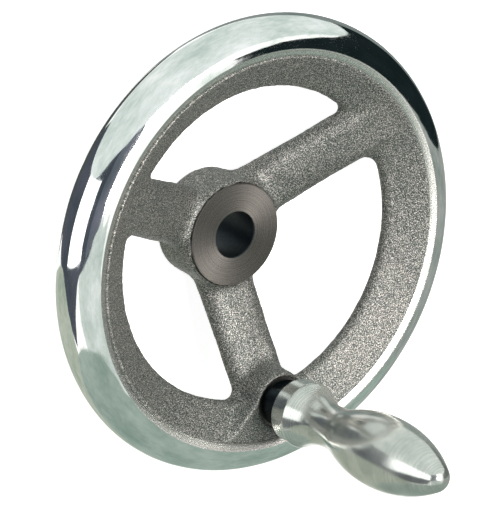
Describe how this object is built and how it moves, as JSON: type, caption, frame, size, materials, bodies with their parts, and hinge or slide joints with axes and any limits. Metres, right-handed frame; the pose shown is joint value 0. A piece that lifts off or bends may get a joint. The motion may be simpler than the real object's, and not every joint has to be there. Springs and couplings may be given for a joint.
{
  "type": "machine handwheel",
  "caption": "Dished machine handwheel with spokes, a polished oval rim, a plain hub bore and a revolving pear-shaped handle.",
  "frame": {"origin": "centre of the shaft bore on the rear face of the hub", "axes": "+Z along the bore, from the rear face of the hub towards the handle; -Y from the wheel axis towards the handle"},
  "size_m": [0.16, 0.16, 0.1294],
  "materials": {
    "casting": "raw sand-cast grey iron, rim bead polished bright, hub faces turned",
    "spindle": "turned steel",
    "grip": "turned steel, polished bright",
    "ring": "drawn spring wire"
  },
  "bodies": {
    "wheel": {"wheel_casting": "casting", "handle_spindle": "spindle", "retaining_ring": "ring"},
    "handle": {"handle_sleeve": "grip"}
  },
  "joints": [
    {"name": "handle_spin", "type": "hinge", "parent": "wheel", "child": "handle", "pos_m": [0, -0.0553, 0.0894], "axis": [0, 0, 1], "continuous": true}
  ]
}
